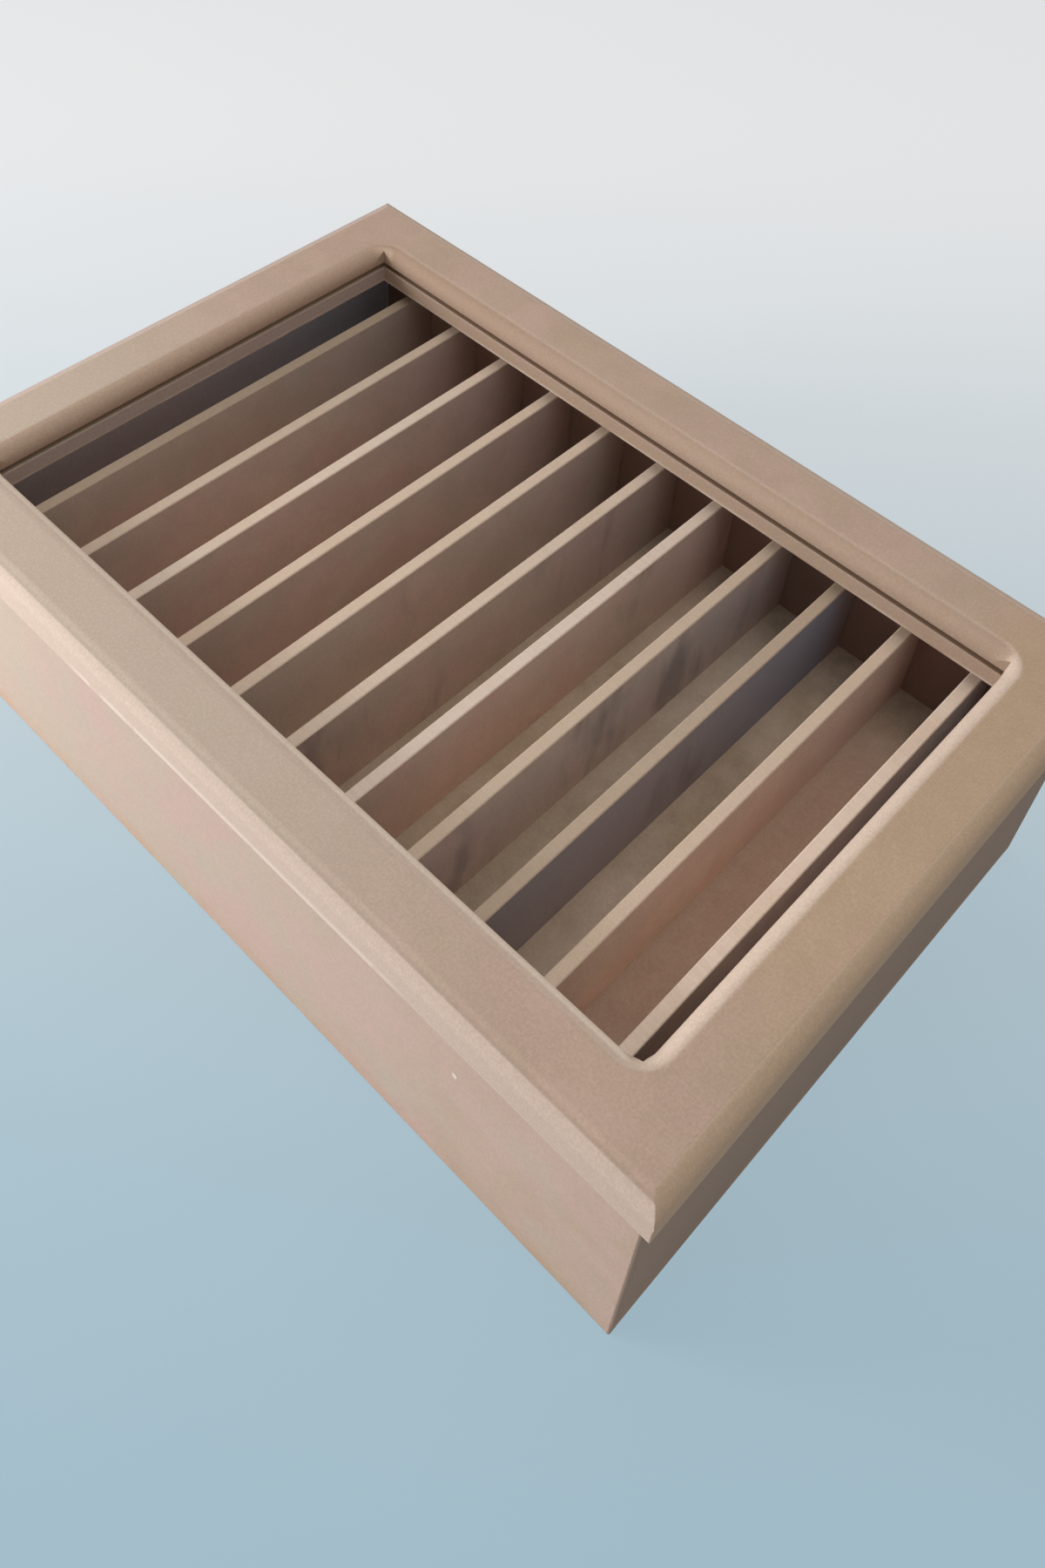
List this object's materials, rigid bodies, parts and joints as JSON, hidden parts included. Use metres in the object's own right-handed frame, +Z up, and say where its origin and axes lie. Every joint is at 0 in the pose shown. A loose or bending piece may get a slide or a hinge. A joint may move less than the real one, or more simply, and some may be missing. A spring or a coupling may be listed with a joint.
{
  "type": "prayer bead box",
  "caption": "Raw MDF box for prayer beads: a tray of long narrow compartments between thin dividers, under a lift-off framed lid with an open window.",
  "frame": {"origin": "middle of the underside, on the surface that the box stands on", "axes": "+Z up, X along the long sides, -Y out of the long front side"},
  "size_m": [0.3, 0.203, 0.096],
  "materials": {
    "mdf_board": "raw medium-density fibreboard, sanded",
    "mdf_divider": "thin raw fibreboard with smoke-darkened faces",
    "mdf_lid": "raw medium-density fibreboard with routed edges"
  },
  "bodies": {
    "box": {"base_panel": "mdf_board", "floor_panel": "mdf_board", "front_wall": "mdf_board", "back_wall": "mdf_board", "left_wall": "mdf_board", "right_wall": "mdf_board", "divider_01": "mdf_divider", "divider_02": "mdf_divider", "divider_03": "mdf_divider", "divider_04": "mdf_divider", "divider_05": "mdf_divider", "divider_06": "mdf_divider", "divider_07": "mdf_divider", "divider_08": "mdf_divider", "divider_09": "mdf_divider", "divider_10": "mdf_divider", "divider_11": "mdf_divider"},
    "lid": {"lid_top_frame": "mdf_lid", "lid_bottom_frame": "mdf_lid", "lid_batten_front": "mdf_lid", "lid_batten_back": "mdf_lid", "lid_batten_left": "mdf_lid", "lid_batten_right": "mdf_lid"}
  },
  "joints": [
    {"name": "lid_lift", "type": "slide", "parent": "box", "child": "lid", "axis": [0, 0, 1], "range_m": [0, 0.06]}
  ]
}
